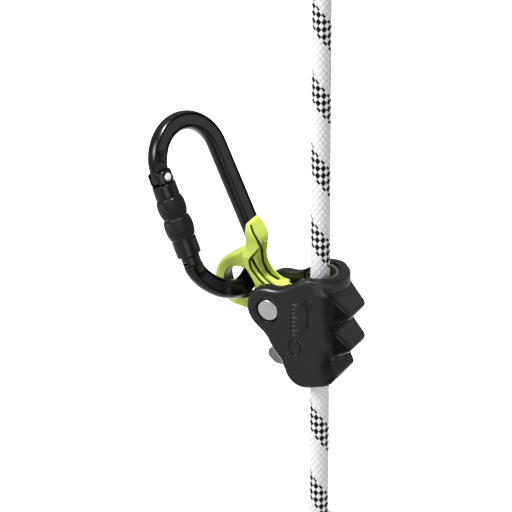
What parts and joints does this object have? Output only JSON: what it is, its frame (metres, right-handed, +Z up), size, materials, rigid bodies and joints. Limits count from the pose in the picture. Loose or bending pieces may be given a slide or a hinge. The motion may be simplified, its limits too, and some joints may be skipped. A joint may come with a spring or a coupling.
{
  "type": "rope grab ascender",
  "caption": "Cam rope grab with a lime lever and a locking oval carabiner, on the rope it slides up and grips when pulled down.",
  "frame": {"origin": "on the rope's axis, level with the cam's pivot pin", "axes": "+Z up along the rope, +X from the pivot pin across the rope towards the ridged back, -Y out of the front cheek"},
  "size_m": [0.1201, 0.0599, 0.4406],
  "materials": {
    "rope_sheath": "braided sheath, matt",
    "sleeve_plastic": "matt",
    "housing_black": "satin black coating",
    "stainless": "satin",
    "lime_anodised": "satin lime anodising",
    "black_anodised": "satin black anodising",
    "bronze": "sintered bronze",
    "spring_steel": "drawn wire"
  },
  "bodies": {
    "rope_line": {"rope": "rope_sheath", "rope_eye": "rope_sheath", "eye_sleeve": "sleeve_plastic", "stopper_knot": "rope_sheath"},
    "housing": {"housing": "housing_black", "channel_liner": "stainless", "pivot_pin": "stainless", "pin_washer": "stainless", "front_spacer": "bronze", "rear_spacer": "bronze", "cam_spring": "spring_steel"},
    "arm": {"cam_arm": "lime_anodised", "pivot_bushing": "bronze"},
    "carabiner": {"carabiner_body": "black_anodised", "gate_rivet": "stainless"},
    "gate": {"gate": "black_anodised", "gate_plunger": "stainless", "gate_spring": "spring_steel"},
    "lock_ring": {"guide_ring": "stainless", "sleeve_spring": "spring_steel"},
    "sleeve": {"lock_sleeve": "black_anodised"}
  },
  "joints": [
    {"name": "rope_slide", "type": "slide", "parent": "rope_line", "child": "housing", "axis": [0, 0, 1], "range_m": [0, 0.08]},
    {"name": "arm_pivot", "type": "hinge", "parent": "housing", "child": "arm", "pos_m": [-0.025, 0, 0], "axis": [0, 1, 0], "range_deg": [0, 20], "stiffness_Nm_per_rad": 0.15, "springref_deg": -34.38},
    {"name": "carabiner_swing", "type": "hinge", "parent": "arm", "child": "carabiner", "pos_m": [-0.0477, 0, 0.0077], "axis": [0, 1, 0], "range_deg": [-160, 20]},
    {"name": "gate_hinge", "type": "hinge", "parent": "carabiner", "child": "gate", "pos_m": [-0.08501, -0.02632, 0.07329], "axis": [0.8794, -0.2419, 0.4101], "range_deg": [0, 24], "stiffness_Nm_per_rad": 0.08, "springref_deg": -28.65},
    {"name": "sleeve_pull", "type": "slide", "parent": "gate", "child": "lock_ring", "axis": [0.4094, -0.0554, -0.9107], "range_m": [0, 0.003], "stiffness_N_per_m": 400, "springref_m": -0.004},
    {"name": "sleeve_twist", "type": "hinge", "parent": "lock_ring", "child": "sleeve", "pos_m": [-0.08501, -0.02632, 0.07329], "axis": [0.4094, -0.0554, -0.9107], "range_deg": [0, 90], "stiffness_Nm_per_rad": 0.02, "springref_deg": -28.65}
  ]
}
